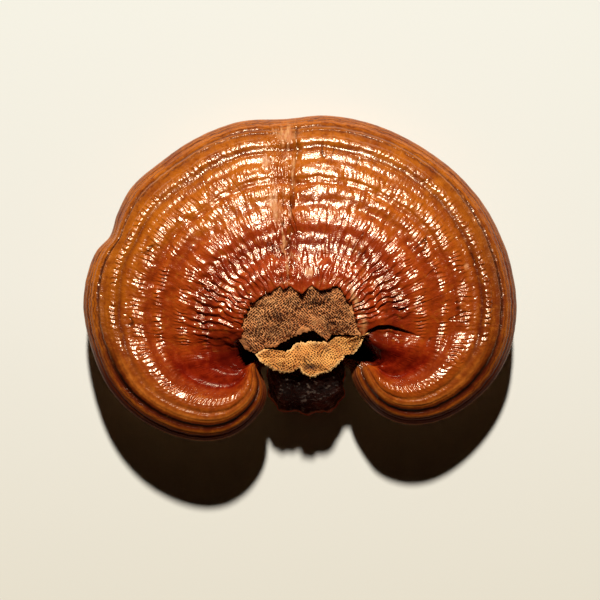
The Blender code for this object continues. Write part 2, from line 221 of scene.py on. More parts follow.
scar = {
    "line": ((-0.9, 49.5), (-1.4, 45.5), (-0.6, 41.0), (-1.4, 36.0), (-2.6, 31.0), (-2.0, 25.5), (-3.2, 20.0),
             (-2.6, 14.5), (-3.7, 9.5), (-3.2, 4.0), (-3.9, 0.0), (-3.4, -3.6)),
    "depth": 0.75,
    "width": 0.9,
    "besideX": -3.6,
    "tornWidth": 4.2,  # half the width of the strip that is torn and streaky
    "grain": (1.0, 0.30, 0.0),  # its streaks are drawn out along it
    # Bare spots where the lacquer never closed: x, y, half-width, half-length, lean.
    "bareSpots": (
        (-4.4, 45.6, 4.2, 3.6, 0.0), (-2.3, 33.0, 0.9, 6.0, 0.0), (-11.0, 36.6, 1.7, 2.8, 0.3),
        (-7.8, 21.6, 2.1, 6.6, 0.2), (-4.9, 10.0, 0.8, 5.5, 0.16), (-3.9, 1.5, 0.5, 3.0, 0.1),
        (2.9, 0.6, 1.7, 2.2, -0.2), (17.2, -7.4, 1.3, 4.6, 0.35), (20.3, -15.6, 1.5, 3.6, 0.1),
        (53.6, 2.6, 0.9, 1.4, 0.0),
    ),
    # Swellings of the skin in front of the pore tissue: x, y, height, half-width.
    "swellings": (
        (-12.2, 1.6, 0.75, 2.8), (1.2, 4.2, 0.70, 2.6), (9.0, 2.4, 0.35, 2.2), (17.8, -0.6, 0.70, 3.0),
        (-9.5, 3.0, 0.60, 2.6), (-14.6, -0.6, 0.60, 2.6), (-17.5, -2.6, 0.45, 2.6),
        (-5.8, 47.0, 0.30, 2.2), (10.5, 31.0, 0.35, 3.2), (-17.0, 30.5, 0.35, 3.4),
    ),
}
fold = {
    "line": ((18.9, -20.6), (20.3, -18.8), (22.0, -17.0), (25.0, -15.6), (28.4, -15.5), (31.6, -16.5),
             (34.2, -17.6), (37.4, -18.9), (41.0, -20.4)),
    "drop": 1.9,
    "reach": 3.2,
    "overhang": 0.55,
}
crevice = {"sink": 5.5, "startY": -19.5, "width": 6.0}


def surface(x, y, z, facts):
    return np.stack((x, y, z), axis=2), {key: np.broadcast_to(value, x.shape) for key, value in facts.items()}


def topSurface(u, d):
    # The skin before its relief, and what its relief and its colours read at each point.
    d = np.asarray(d, float)[None, :]
    x, y, run, length, outer, inner = placeOnRibs(u, d)
    startZ = marginZ(outer[..., 0], outer[..., 1])
    endZ = skinEdgeZ(inner[..., 1])
    # The lobes rise as far as their bright band and then fall steeply into the bowl.
    lobe = smooth((-18.0 - outer[..., 1]) / 18.0) * smooth(length / 20.0)
    width = np.minimum(cap["rollUpWidth"] + cap["lobeRollWidth"] * lobe, 0.6 * length)
    roll = np.sqrt(1.0 - (1.0 - np.minimum(run / width, 1.0)) ** 2)
    roll = roll * cap["rollUp"] * np.minimum(1.0, length / cap["rollFullRib"])
    onward = np.maximum(d - 20.2, 0.0) / (cap["longestRib"] - 20.2)
    lobeRoll = 1.0 - 0.10 * np.clip((d - 16.6) / 3.6, 0.0, 1.0) - 0.42 * np.clip((d - 20.2) / 6.8, 0.0, 1.0)
    lobeRoll = lobeRoll - 0.06 * onward - 0.30 * smooth((d - 47.0) / 9.0)
    roll = roll * ((1.0 - lobe) * (1.0 - (d / cap["longestRib"]) ** 2) + lobe * lobeRoll)
    bowlStart = 8.0 + cap["lobeBowlStart"] * lobe
    hollow = np.sin(math.pi * np.clip((d - bowlStart) / (cap["longestRib"] - bowlStart), 0.0, 1.0))
    hollow = hollow ** (1.5 + 0.5 * lobe) * smooth((30.0 - outer[..., 1]) / 75.0) * smooth(length / 20.0)
    z = startZ + (endZ - startZ) * d / cap["longestRib"] + roll
    z = z - cap["bowlDepth"] * hollow * (1.0 - 0.95 * lobe)
    distance, _, along = linePlace(x, y, scar["line"])
    ends = smooth(along / 0.04) * smooth((1.0 - along) / 0.04)
    z = z - scar["depth"] * ends * np.exp(-(distance / scar["width"]) ** 2)
    seam = ends * np.exp(-(distance / 0.45) ** 2)
    torn = ends * np.exp(-((x - scar["besideX"] + 0.05 * y) / scar["tornWidth"]) ** 2)
    bare = np.zeros(x.shape)
    for spotX, spotY, wide, long, tilt in scar["bareSpots"]:
        across = (x - spotX) + tilt * (y - spotY)
        bare = np.maximum(bare, np.exp(-(across / wide) ** 2 - ((y - spotY) / long) ** 2))
    for spotX, spotY, height, wide in scar["swellings"]:
        z = z + height * np.exp(-((x - spotX) ** 2 + (y - spotY) ** 2) / wide ** 2)
    distance, side, along = linePlace(x, y, fold["line"])
    fade = smooth((1.0 - along) / 0.6) * smooth(along / 0.08)
    below = np.where(side < 0, smooth(distance / 0.6) * np.exp(-distance / fold["reach"]), 0.0)
    z = z - fold["drop"] * fade * below
    # The skin above the fold leans out over the bowl below it.
    above = np.where(side > 0, np.exp(-(distance / 1.6) ** 2), np.exp(-(distance / 0.5) ** 2))
    y = y - fold["overhang"] * fade * above
    # A painted shadow in a band below the fold's edge.
    under = np.where(side < 0, np.exp(-(distance / (1.7 - 1.2 * along)) ** 2), 0.0) * fade
    # Beside the stem the skin dives into a crevice, which is also painted near black as shade.
    dive = smooth((crevice["startY"] - inner[..., 1]) / crevice["width"]) * smooth((d - 52.6) / 3.2)
    z = z - crevice["sink"] * dive
    outward = outer - inner
    outward = outward / np.linalg.norm(outward, axis=2)[..., None]
    facts = {
        "place": d,
        "full": np.minimum(1.0, length / 22.0),
        "bowl": hollow,
        "lobe": lobe,
        "red": lobe * smooth((d - 20.0) / 7.0),
        "deep": smooth((-14.5 - y) / 6.0) * smooth((32.5 - np.abs(x)) / 7.0) * smooth((d - 38.0) / 9.0),
        "bare": bare,
        "seam": seam,
        "torn": torn,
        "lean": -outward[..., 0],
        "still": 0.92 * np.exp(-(distance / 2.4) ** 2) * smooth((1.0 - along) / 0.25),
        "shade": np.maximum(0.85 * under, 0.9 * dive),
        "side": 1.0 - smooth((outward[..., 1] - 0.35) / 0.6),
        "amber": smooth((y + 0.30 * np.abs(x) - 0.20 * x + 2.0) / 42.0),
    }
    return surface(x, y, z, facts)


def underSurface(u, d):
    d = np.asarray(d, float)[None, :]
    x, y, run, length, outer, _ = placeOnRibs(u, d)
    width = np.minimum(cap["rollDownWidth"], 0.6 * length)
    roll = np.sqrt(1.0 - (1.0 - np.minimum(run / width, 1.0)) ** 2)
    hollow = cap["undersideHollow"] * np.sin(math.pi * np.clip(d / cap["longestRib"], 0.0, 1.0)) ** 2
    hollow = hollow * np.minimum(1.0, length / 30.0) + cap["poreStep"] * smooth((run - 4.6) / 1.2)
    z = marginZ(x, y) - cap["rollDown"] * roll + hollow
    facts = {"place": -d, "full": np.minimum(1.0, length / 22.0), "run": run}
    return surface(x, y, np.maximum(z, 0.3), facts)


# Meshes from rows of points.
def addObject(name, data):
    made = bpy.data.objects.new(name, data)
    bpy.context.scene.collection.objects.link(made)
    return made


def rowOf(xy, z):
    return np.column_stack((xy, z))[:, None, :]


def shiftToFrame(points):
    # The drawing above is a hair off the frame's origin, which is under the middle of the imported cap.
    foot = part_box("stem")
    middle = (foot[0] + foot[1]) / 2 / mm
    return points + np.array((middle.x - stem["x"], 0.06, 0.0))


def meshOf(name, points, facts, turn, closeFirst=None, closeLast=None):
    # points is columns by rows. A pole closes the first or the last row.
    columns, rows = points.shape[:2]
    flat = list(points.transpose(1, 0, 2).reshape(-1, 3))
    index = np.arange(rows * columns).reshape(rows, columns)
    following = np.roll(index, -1, axis=1)
    quads = np.stack((index[:-1], index[1:], following[1:], following[:-1]), axis=2).reshape(-1, 4)
    faces = quads.tolist()
    poles = []
    for pole, row, flip in ((closeFirst, 0, False), (closeLast, rows - 1, True)):
        if pole is None:
            continue
        flat.append(np.array(pole))
        centre = len(flat) - 1
        poles.append((centre, row))
        for k in range(columns):
            corner = (index[row, k], following[row, k], centre)
            faces.append([int(v) for v in (corner[::-1] if flip else corner)])
    flat = shiftToFrame(np.array(flat)) * mm
    mesh = bpy.data.meshes.new(name)
    mesh.from_pydata(flat.tolist(), [], faces)
    turns = np.zeros((len(flat), 3), np.float32)
    turns[:rows * columns, 0] = np.tile(np.cos(2 * math.pi * turn), rows)
    turns[:rows * columns, 1] = np.tile(np.sin(2 * math.pi * turn), rows)
    mesh.attributes.new("turn", "FLOAT_VECTOR", "POINT").data.foreach_set("vector", turns.ravel())
    for key, values in facts.items():
        column = np.zeros(len(flat), np.float32)
        column[:rows * columns] = values.T.ravel()
        for centre, row in poles:
            column[centre] = values[0, row]
        mesh.attributes.new(key, "FLOAT", "POINT").data.foreach_set("value", column)
    mesh.shade_smooth()
    mesh.update()
    return addObject(name, mesh)


# Node trees. A value is a node's output, and arithmetic with it adds Math nodes.
class Value:
    def __init__(self, nodes, socket):
        self.nodes = nodes
        self.socket = socket

    def math(self, operation, *others):
        return self.nodes.math(operation, self, *others)

    def __add__(self, other):
        return self.math("ADD", other)

    __radd__ = __add__

    def __sub__(self, other):
        return self.math("SUBTRACT", other)

    def __rsub__(self, other):
        return self.nodes.math("SUBTRACT", other, self)

    def __mul__(self, other):
        return self.math("MULTIPLY", other)

    def __truediv__(self, other):
        return self.math("DIVIDE", other)

    def mapped(self, low, high, newLow=0.0, newHigh=1.0, kind="SMOOTHSTEP"):
        return self.nodes.add("ShaderNodeMapRange", {
            "Value": self, "From Min": low, "From Max": high, "To Min": newLow, "To Max": newHigh,
        }, interpolation_type=kind)

    def bell(self, at, halfWidth, flatTop=False):
        off = (self - at) / halfWidth
        off = off * off
        if flatTop:
            off = off * off
        return (off * -1.0).math("EXPONENT")

    def mix(self, share, color):
        # This colour with a share of the other.
        return self.nodes.mixed(share, self, color)


class Nodes:
    def __init__(self, tree):
        self.tree = tree

    def plug(self, value, socket):
        if isinstance(value, Value):
            self.tree.links.new(value.socket, socket)
        else:
            socket.default_value = value

    def add(self, kind, inputs=None, output=0, **settings):
        made = self.tree.nodes.new(kind)
        for key, value in settings.items():
            setattr(made, key, value)
        for key, value in (inputs or {}).items():
            self.plug(value, made.inputs[key])
        return None if output is None else Value(self, made.outputs[output])

    def math(self, operation, *values):
        return self.add("ShaderNodeMath", dict(enumerate(values)), operation=operation)

    def vectorMath(self, operation, *vectors):
        return self.add("ShaderNodeVectorMath", dict(enumerate(vectors)), operation=operation)

    def parts(self, vector):
        first = self.add("ShaderNodeSeparateXYZ", {"Vector": vector})
        return [Value(self, socket) for socket in first.socket.node.outputs]

    def noise(self, vector, scale, detail=2.0, roughness=0.5, distortion=0.0):
        # Noise round nought, about -1 to 1.
        return self.add("ShaderNodeTexNoise", {
            "Vector": vector, "Scale": scale, "Detail": detail,
            "Roughness": roughness, "Distortion": distortion,
        }).mapped(0.25, 0.75, -1.0, 1.0, "LINEAR")

    def roundNoise(self, turn, place, around, along, seed, detail=1.0, roughness=0.5, distortion=0.0):
        # Noise that runs round the cap: features per turn, and per millimetre from the margin.
        cosine, sine, _ = self.parts(turn)
        radius = around / (2 * math.pi)
        vector = self.add("ShaderNodeCombineXYZ", {
            "X": cosine * radius + seed, "Y": sine * radius, "Z": self.math("MULTIPLY", place, along),
        })
        return self.noise(vector, 1.0, detail, roughness, distortion)

    def mixed(self, share, first, second):
        colors = [color if isinstance(color, Value) else (*color, 1.0) for color in (first, second)]
        return self.add("ShaderNodeMix", {0: share, 6: colors[0], 7: colors[1]}, 2, data_type="RGBA")

    def ramp(self, value, stops):
        made = self.add("ShaderNodeValToRGB", {"Fac": value})
        elements = made.socket.node.color_ramp.elements
        while len(elements) < len(stops):
            elements.new(0.5)
        for element, (at, color) in zip(elements, stops):
            element.position = at
            element.color = (*color, 1.0)
        return made

    def spot(self):
        return self.add("ShaderNodeTexCoord", output="Object")

    def attribute(self, name, output="Fac"):
        return self.add("ShaderNodeAttribute", output=output, attribute_name=name)

    def read(self, name, kind="FLOAT"):
        # The same in a growth tree.
        return self.add("GeometryNodeInputNamedAttribute", {"Name": name}, "Attribute", data_type=kind)

    def paint(self, inputs, bump=None):
        # Sets the shader's inputs. A bump is a height, a strength and a distance.
        if bump:
            inputs["Normal"] = self.add("ShaderNodeBump", dict(zip(("Height", "Strength", "Distance"), bump)))
        for key, value in inputs.items():
            self.plug(value, self.tree.nodes["Principled BSDF"].inputs[key])


def newMaterial(name):
    made = bpy.data.materials.new(name)
    made.use_nodes = True
    return made, Nodes(made.node_tree)


def newGrowth(name, sizes):
    # A geometry tree, and its inputs by name.
    tree = bpy.data.node_groups.new(name, "GeometryNodeTree")
    tree.interface.new_socket("Geometry", in_out="OUTPUT", socket_type="NodeSocketGeometry")
    tree.interface.new_socket("Geometry", in_out="INPUT", socket_type="NodeSocketGeometry")
    for label, value in sizes.items():
        tree.interface.new_socket(label, in_out="INPUT", socket_type="NodeSocketFloat").default_value = value
    tree.interface.new_socket("Material", in_out="INPUT", socket_type="NodeSocketMaterial")
    nodes = Nodes(tree)
    inputs = tree.nodes.new("NodeGroupInput").outputs
    return nodes, {key: Value(nodes, inputs[key]) for key in ("Geometry", *sizes, "Material")}


def endGrowth(nodes, inputs, height, stored):
    # Stores what the material reads and moves each point along its normal by a height in millimetres, but never
    # through the table.
    geometry = inputs["Geometry"]
    for name, value in stored.items():
        values = {"Geometry": geometry, "Name": name, "Value": value}
        geometry = nodes.add("GeometryNodeStoreNamedAttribute", values, data_type="FLOAT", domain="POINT")
    moved = nodes.vectorMath("MULTIPLY_ADD", nodes.add("GeometryNodeInputNormal"), height * mm,
                             nodes.add("GeometryNodeInputPosition"))
    kept = nodes.vectorMath("MAXIMUM", moved, (-1.0, -1.0, tableGap * mm))
    geometry = nodes.add("GeometryNodeSetPosition", {"Geometry": geometry, "Position": kept})
    geometry = nodes.add("GeometryNodeRealizeInstances", {"Geometry": geometry})
    geometry = nodes.add("GeometryNodeSetMaterial", {"Geometry": geometry, "Material": inputs["Material"]})
    nodes.add("NodeGroupOutput", {"Geometry": geometry}, None)
    return nodes.tree


def shingles(nodes, turn, place, count, bend, seed, flank=0.28):
    # Wrinkles that run inwards, about -0.5 to 0.5: the long flank of each faces the far side.
    cosine, sine, _ = nodes.parts(turn)
    stray = nodes.roundNoise(turn, place, count * 0.3, 0.24, seed)
    phase = (sine.math("ARCTAN2", cosine) * (count / (2 * math.pi)) + stray * bend).math("FRACT")
    wave = phase.mapped(0.0, flank) - phase.mapped(flank, 1.0, kind="LINEAR")
    return (wave - 0.5) * nodes.read("lean")


def grow(obj, tree, material, sizes):
    # Runs the tree on the object and leaves a plain mesh.
    modifier = obj.modifiers.new("growth", "NODES")
    modifier.node_group = tree
    values = dict(sizes, Material=material)
    for socket in tree.interface.items_tree:
        if socket.in_out == "INPUT" and socket.name in values:
            modifier[socket.identifier] = values[socket.name]
    graph = bpy.context.evaluated_depsgraph_get()
    graph.update()
    mesh = bpy.data.meshes.new_from_object(obj.evaluated_get(graph), preserve_all_data_layers=True,
                                           depsgraph=graph)
    obj.modifiers.clear()
    obj.data = mesh
    mesh.name = obj.name
    mesh.shade_smooth()
    return obj


# Relief of the lacquered skin.
skinRelief = {
    "Band Height": 1.0,
    "Band Wander": 0.9,  # how far, in millimetres, a band strays from its place
    "Comb Height": 0.43,  # fine wrinkles across the crests of the bands
    "Rope Height": 0.66,  # thicker wrinkles towards the pore tissue
    "Lump Height": 0.36,
    "Scar Height": 0.75,
    "Grain Height": 0.045,
}


def skinReliefTree():
    nodes, size = newGrowth("growth bands and wrinkles", skinRelief)
    place, full, side, lobe, bowl, red, deep, torn, still = (nodes.read(name) for name in (
        "place", "full", "side", "lobe", "bowl", "red", "deep", "torn", "still"))
    turn = nodes.read("turn", "FLOAT_VECTOR")

    def noise(around, along, seed, detail=1.0, distortion=0.0):
        return nodes.roundNoise(turn, place, around, along, seed, detail, 0.5, distortion)

    # Each band wanders a little, more so away from the margin, and the outermost are narrower on the far side.
    wander = noise(9.0, 0.02, 3.0) + noise(44.0, 0.05, 11.0) * 0.5
    wander = wander * place.mapped(0.0, 24.0, 0.22, 1.0) * size["Band Wander"]
    ragged = noise(170.0, 0.25, 15.0, 2.0) * place.mapped(0.0, 3.0, 0.10, 0.22)
    narrow = place.mapped(0.8, 4.6) * place.mapped(16.0, 9.0)
    band = place + wander + ragged + narrow * side.mapped(0.0, 1.0, 1.5, 0.0)
    relief = 0.0
    for k, (at, height, halfWidth) in enumerate(growthBands):
        uneven = nodes.roundNoise(turn, at, 34.0 if at > 9.0 else 22.0, 0.3, 20.0 + 5.0 * k)
        flatTop = height > 0.0 and 1.25 < halfWidth < 2.8
        crest = band.bell(at, halfWidth, flatTop) * height
        relief = crest * uneven.mapped(-1.0, 1.0, 0.35, 1.45, "LINEAR") + relief
    outside = place.mapped(9.0, 5.0)
    strength = outside * side.mapped(0.0, 1.0, -0.45, -0.15) + 1.0 + outside * lobe * 0.2
    # On the lobes the crest and the bowl are calm.
    even = (place.mapped(8.0, 10.0, 0.0, 0.25) + place.mapped(15.0, 17.0, 0.0, 0.60)
            + place.mapped(22.0, 27.0, 0.0, -0.25) + place.mapped(3.4, 2.4, 0.0, 0.55))
    relief = relief * (1.0 - lobe * even) + band.bell(6.4, 0.5) * lobe * -0.45
    relief = relief * strength * size["Band Height"]

    # Clusters of fine wrinkles that cross the crests like the teeth of a comb.
    crest = sum(band.bell(at, halfWidth, True) * share for at, halfWidth, share in wrinkledBands)
    cluster = noise(64.0, 0.12, 210.0).mapped(-0.42, -0.08, 0.15, 1.0)
    near = place.mapped(47.0, 42.0) * side.mapped(0.0, 1.0, 0.75, 1.0)
    comb = shingles(nodes, turn, place, 205, 0.5, 220.0)
    comb = comb * noise(110.0, 0.30, 230.0).mapped(-0.8, 0.6, 0.75, 1.2)
    comb = comb * crest * cluster * near * place.mapped(8.0, 36.0, 1.2, 0.75, "LINEAR") * size["Comb Height"]
    comb = comb * place.mapped(12.4, 14.0).math("MAXIMUM", lobe.mapped(0.0, 0.3, 1.0, 0.0))
    grain = noise(300.0, 0.75, 240.0) * (crest * cluster * 0.7 + 0.30) * size["Grain Height"]
    grain = grain * place.mapped(3.0, 9.0, 0.4, 1.0) * side.mapped(0.0, 1.0, 0.75, 1.0)
    grain = grain * red.mapped(0.0, 0.7, 1.0, 0.05) * lobe.mapped(0.0, 1.0, 1.0, 0.5)
    # The lobes' bowls stay calm from their edge on.
    comb = comb * (1.0 - lobe.mapped(0.0, 0.5) * place.mapped(21.5, 26.0) * 0.7)

    # Thick ropes and finer strands run on to the pore tissue, calmer on the far side and in the lobes' bowls.
    inward = place.mapped(33.0, 42.0) * bowl.mapped(0.2, 0.9, 1.0, 0.4) * red.mapped(0.0, 1.0, 1.0, 0.08)
    inward = inward * deep.mapped(0.0, 0.8, 1.0, 0.25)
    calm = side.mapped(0.0, 1.0, 0.22, 1.0)
    ropes = noise(52.0, 0.10, 40.0, 1.0, 0.6).math("ABSOLUTE")
    strands = noise(150.0, 0.22, 60.0, 1.0, 0.4).math("ABSOLUTE")
    leaning = shingles(nodes, turn, place, 70, 0.45, 250.0, 0.42)
    leaning = leaning * noise(50.0, 0.12, 260.0).mapped(-0.6, 0.3, 0.45, 1.2)
    folds = ropes * calm * 0.16 + strands * calm * 0.05
    folds = folds + leaning * place.mapped(42.0, 56.0, 1.15, 0.8, "LINEAR")
    folds = folds * inward * size["Rope Height"]
    lumps = noise(74.0, 0.20, 80.0) * place.mapped(12.0, 20.0, 0.25, 1.0) * size["Lump Height"]
    lumps = lumps * bowl.mapped(0.2, 0.9, 1.0, 0.35) * 0.7
    lumps = lumps * lobe.mapped(0.0, 1.0, 1.0, 0.25) * red.mapped(0.0, 0.7, 1.0, 0.1)
    plates = noise(27.0, 0.16, 90.0) * place.mapped(42.0, 46.0) * 0.34 * red.mapped(0.0, 0.6, 1.0, 0.2)
    # A terrace before the innermost ridge, which makes that ridge's far flank a step.
    terrace = band.mapped(36.2, 42.0, 0.0, -0.65, "LINEAR") * band.mapped(51.0, 42.0, kind="LINEAR")
    terrace = terrace * side.mapped(0.0, 1.0, 1.0, 0.3)
    # Streaks along the scar, and a few narrow cracks that run inwards.
    drawn = nodes.vectorMath("MULTIPLY", nodes.add("GeometryNodeInputPosition"), scar["grain"])
    torn = nodes.noise(drawn, 560.0, 3.0, 0.6, 0.8) * torn * size["Scar Height"]
    crack = noise(34.0, 0.03, 120.0, 2.0, 0.6).math("ABSOLUTE").mapped(0.05, 0.0)
    crack = crack * noise(20.0, 0.10, 150.0).mapped(0.1, 0.35)
    crack = crack * place.mapped(7.0, 13.0) * lobe.mapped(0.0, 0.6, 1.0, 0.0)
    height = relief + comb + grain + folds + lumps + plates + terrace + torn + crack * -0.18
    height = height * full * (1.0 - still)

    # Creases and cracks, which the material paints darker as shade.
    crease = (ropes.mapped(0.09, 0.0) * inward * 0.3).math("MAXIMUM", crack)
    crease = crease.math("MAXIMUM", strands.mapped(0.07, 0.0) * inward * 0.4)
    return endGrowth(nodes, size, height, {"band": band, "relief": relief, "crease": crease})


# Materials.
lacquer = {
    # Colours by place from the margin in millimetres, linear RGB.
    "bands": (
        (0.0, (0.25, 0.088, 0.022)), (0.7, (0.20, 0.058, 0.014)), (1.05, (0.10, 0.020, 0.007)),
        (1.35, (0.27, 0.086, 0.024)), (1.75, (0.16, 0.036, 0.010)), (2.0, (0.045, 0.009, 0.004)),
        (2.5, (0.34, 0.125, 0.048)), (2.9, (0.24, 0.055, 0.009)), (3.7, (0.33, 0.080, 0.007)),
        (4.8, (0.22, 0.042, 0.005)), (5.5, (0.050, 0.010, 0.004)), (6.1, (0.22, 0.060, 0.014)),
        (6.7, (0.17, 0.034, 0.004)), (8.4, (0.23, 0.042, 0.003)), (10.6, (0.24, 0.040, 0.003)),
        (12.6, (0.11, 0.013, 0.003)), (13.8, (0.28, 0.044, 0.003)), (16.4, (0.36, 0.060, 0.004)),
        (19.2, (0.34, 0.050, 0.004)), (21.2, (0.27, 0.031, 0.003)), (23.0, (0.33, 0.041, 0.003)),
        (24.8, (0.42, 0.064, 0.005)), (26.5, (0.29, 0.032, 0.003)), (29.0, (0.34, 0.038, 0.003)),
        (32.2, (0.42, 0.058, 0.005)), (35.0, (0.38, 0.044, 0.004)), (38.0, (0.31, 0.029, 0.003)),
        (43.0, (0.21, 0.015, 0.003)), (47.0, (0.40, 0.042, 0.004)), (52.0, (0.30, 0.025, 0.003)),
        (56.0, (0.36, 0.038, 0.005)),
    ),
    "amber": (0.52, 0.130, 0.005),
    "bowlRedAndShade": (0.115, 0.0028, 0.0010),
    "bowlBright": (0.235, 0.0120, 0.0022),
    "lobeEdgeAndShade": (0.060, 0.006, 0.002),
    "lobeGold": (0.58, 0.150, 0.018),
    "creviceShadeRed": (0.075, 0.0030, 0.0012),
    "marginLines": ((0.85, 0.20), (1.95, 0.34), (3.25, 0.20), (4.45, 0.20), (5.55, 0.36)),
    "marginDark": (0.075, 0.012, 0.005),
    "groove": (0.030, 0.006, 0.002),
    "paleEdgeAndHighlight": (0.38, 0.15, 0.06),
    "underEdgeShade": (0.10, 0.028, 0.011),
    "bareTan": (0.60, 0.260, 0.085),
    "tornTan": (0.46, 0.130, 0.030),
    "patch": (0.22, 0.024, 0.004),
    "mottleDark": (0.14, 0.018, 0.004),
    "mottlePale": (0.52, 0.135, 0.008),
    "streak": (0.10, 0.014, 0.004),
    "lobeGrooveShadow": (0.004, 0.001, 0.0005),
    "shade": (0.012, 0.003, 0.002),
    "roughness": 0.20,
}


def skinMaterial():
    made, nodes = newMaterial("red lacquered skin")
    band, place, relief, side, lobe, red, deep, torn, bare, shade = (nodes.attribute(name) for name in (
        "band", "place", "relief", "side", "lobe", "red", "deep", "torn", "bare", "shade"))
    turn = nodes.attribute("turn", "Vector")
    spot = nodes.spot()
    longest = cap["longestRib"]
    color = nodes.ramp(band / longest, [(at / longest, color) for at, color in lacquer["bands"]])

    def noise(around, along, seed, detail, roughness=0.5):
        return nodes.roundNoise(turn, place, around, along, seed, detail, roughness)

    # Mottling: amber patches on the far side, red-brown patches, and fine streaks across the bands.
    patches = noise(46.0, 0.16, 5.0, 3.0, 0.6)
    inner = side.mapped(0.0, 1.0, 33.0, 19.0) - place
    amber = nodes.attribute("amber") * inner.mapped(-3.0, 3.0, 0.06, 1.0)
    amber = amber * relief.mapped(-0.3, 0.1, 0.5, 1.0) * patches.mapped(-0.8, 0.8, 0.45, 1.0)
    color = color.mix(amber * 0.85, lacquer["amber"])
    color = color.mix(patches.mapped(0.1, -0.8, 0.0, 0.35), lacquer["patch"])
    mottle = nodes.noise(spot, 420.0, 4.0, 0.7)
    color = color.mix(mottle.mapped(0.0, -0.8, 0.0, 0.50), lacquer["mottleDark"])
    color = color.mix(mottle.mapped(0.0, 0.9, 0.0, 0.50), lacquer["mottlePale"])
    streaks = noise(330.0, 0.35, 9.0, 3.0, 0.65).mapped(0.0, -1.0, 0.0, 0.35)
    color = color.mix(streaks * place.mapped(40.0, 28.0, 0.2, 1.0), lacquer["streak"])
    # Dark broken lines round the margin.
    stray = place + noise(120.0, 0.2, 31.0, 3.0) * 0.62
    lines = sum(stray.bell(at, wide) for at, wide in lacquer["marginLines"])
    broken = noise(60.0, 0.6, 37.0, 3.0, 0.7).mapped(-0.8, 0.7, 0.05, 0.85)
    color = color.mix(lines.math("MINIMUM", 1.0) * broken, lacquer["marginDark"])
    # The lobes' bowls are deep red, darkened further as painted shade; their outer bands are dark, partly
    # painted shade; and every groove, crease and crack gets painted shade.
    clouds = mottle + patches * 0.6
    # The bowls' own deep red, darkened further as painted shade, with lighter clouds.
    bowl = nodes.mixed(clouds.mapped(-0.8, 0.9), lacquer["bowlRedAndShade"], lacquer["bowlBright"])
    color = color.mix(red * 0.92, bowl)
    # The lobes' outer bands: their own dark red-brown, darkened further as painted shade.
    outer = band.mapped(3.6, 2.6) + band.mapped(4.3, 5.2) + band.mapped(8.6, 7.3) - 1.0
    color = color.mix(outer * lobe * 0.75, lacquer["lobeEdgeAndShade"])
    golden = (band.bell(9.5, 1.0) + band.bell(12.6, 1.6) * 0.4) * lobe * mottle.mapped(-0.7, 0.5, 0.45, 0.95)
    color = color.mix(golden, lacquer["lobeGold"])
    # A painted shadow, near black, in the deep groove of the lobes' margin.
    color = color.mix(band.bell(6.4, 0.6) * lobe * 0.9, lacquer["lobeGrooveShadow"])
    # Painted shade darkening the skin towards the crevice beside the stem.
    color = color.mix(deep * 0.75, lacquer["creviceShadeRed"])
    # Painted shade in the grooves, creases, cracks and along the scar's seam.
    color = color.mix(relief.mapped(-0.15, -0.60, 0.0, 0.50), lacquer["groove"])
    for name, share in (("crease", 0.75), ("seam", 0.5)):
        color = color.mix(nodes.attribute(name) * share, lacquer["groove"])
    # The outermost edge is bare of lacquer and paler, its pale line brightened as a painted highlight; under it
    # the margin is painted darker as shade.
    color = color.mix(place.mapped(-0.25, -0.8), lacquer["underEdgeShade"])
    color = color.mix(place.mapped(0.55, 0.1) * place.mapped(-0.7, -0.2) * 0.7, lacquer["paleEdgeAndHighlight"])
    # The scar: bare tan patches along it.
    drawn = nodes.vectorMath("MULTIPLY", spot, scar["grain"])
    streak = torn * nodes.noise(drawn, 560.0, 3.0, 0.6, 0.8).mapped(-0.2, 0.9, 0.0, 0.60)
    bare = bare + (mottle * 0.26 + noise(260.0, 0.12, 19.0, 2.0) * 0.34) + streak
    bare = bare.mapped(0.22, 1.15)
    tan = nodes.mixed(nodes.noise(drawn, 900.0, 2.0).mapped(-0.6, 0.6), lacquer["tornTan"], lacquer["bareTan"])
    # Then painted shade, near black, under the fold, in the crevices and under the pore tissue.
    color = color.mix(bare * 0.95, tan).mix(shade, lacquer["shade"])

    smoothest = lacquer["roughness"]
    rough = nodes.noise(spot, 420.0, 3.0, 0.6).mapped(-1.0, 1.0, smoothest - 0.05, smoothest + 0.08, "LINEAR")
    rough = rough + bare * 0.35 + shade * 0.5 + place.mapped(2.4, 0.8, 0.0, 0.12)
    fine = noise(520.0, 1.0, 2.0, 0.0) * place.mapped(20.0, 45.0, 1.0, 0.3) + nodes.noise(spot, 2600.0, 0.0)
    fine = fine * lobe.mapped(0.0, 1.0, 1.0, 0.5)
    # No gloss on the lobes' outer bands, hardly any in their bowls, and none in the crevices.
    matt = lobe * place.mapped(15.4, 13.6, 0.0, 0.93)
    for dull in (lobe.mapped(0.0, 0.5) * place.mapped(22.0, 26.5, 0.0, 0.90), deep * 0.8, shade):
        matt = matt.math("MAXIMUM", dull)
    gloss = place.mapped(1.5, 7.0, 0.10, 0.85) * (1.0 - matt)
    nodes.paint({"Base Color": color, "Roughness": rough, "IOR": 1.5, "Specular IOR Level": gloss,
                 "Specular Tint": (1.0, 0.77, 0.54, 1.0)}, bump=(fine, 1.0, 0.000014))
    return made


pores = {
    "underPale": (0.62, 0.42, 0.22),
    "underTan": (0.42, 0.24, 0.11),
    "underPitShade": (0.10, 0.045, 0.02),
    "underBorder": (0.66, 0.46, 0.27),
    "underBrown": (0.26, 0.10, 0.045),
    "stain": (0.10, 0.030, 0.016),
}


